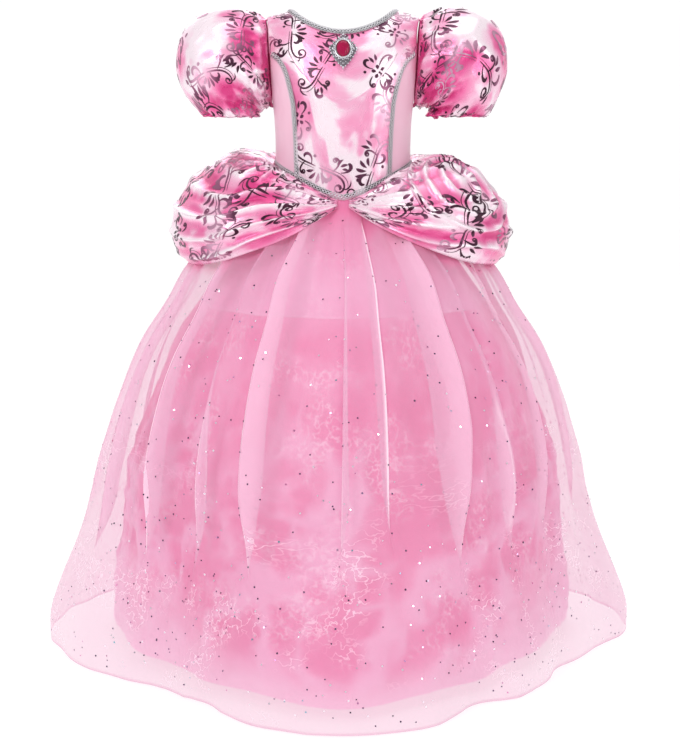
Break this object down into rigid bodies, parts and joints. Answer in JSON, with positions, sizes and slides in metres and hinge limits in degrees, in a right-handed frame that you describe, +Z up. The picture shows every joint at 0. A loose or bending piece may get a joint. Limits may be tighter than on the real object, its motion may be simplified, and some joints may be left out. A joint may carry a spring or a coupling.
{
  "type": "princess costume dress",
  "caption": "Child's floor-length costume gown with puff sleeves, gathered hip swags, a sheer sequinned overskirt and a round brooch at the neck.",
  "frame": {"origin": "middle of the shoulder line, where the wearer's shoulders hold the gown up", "axes": "+Z up along the wearer, -Y to the front, +X to the right in a front view"},
  "size_m": [0.8572, 0.836, 0.894],
  "materials": {
    "foil_satin": "shiny satin with a metallic foil scroll print",
    "pale_satin": "plain pale pink satin",
    "yoke_satin": "plain pale pink satin",
    "pink_satin": "crinkled deep pink satin",
    "organza": "sheer sequinned organza",
    "silver_braid": "metallic silver braid",
    "brooch_metal": "cast silver metal",
    "brooch_glass": "polished crimson glass"
  },
  "bodies": {
    "root": {"bodice_front": "foil_satin", "bodice_side_right": "pale_satin", "bodice_side_left": "pale_satin", "bodice_back_right": "pale_satin", "bodice_back_left": "pale_satin", "braid_neck": "silver_braid", "braid_princess_right": "silver_braid", "braid_princess_left": "silver_braid", "braid_waist": "silver_braid", "sleeve_right": "foil_satin", "sleeve_left": "foil_satin", "overskirt": "organza", "underskirt_lower": "pink_satin", "underskirt_yoke": "yoke_satin", "swag_right": "foil_satin", "swag_left": "foil_satin", "brooch_setting": "brooch_metal", "brooch_stone": "brooch_glass"}
  },
  "joints": []
}
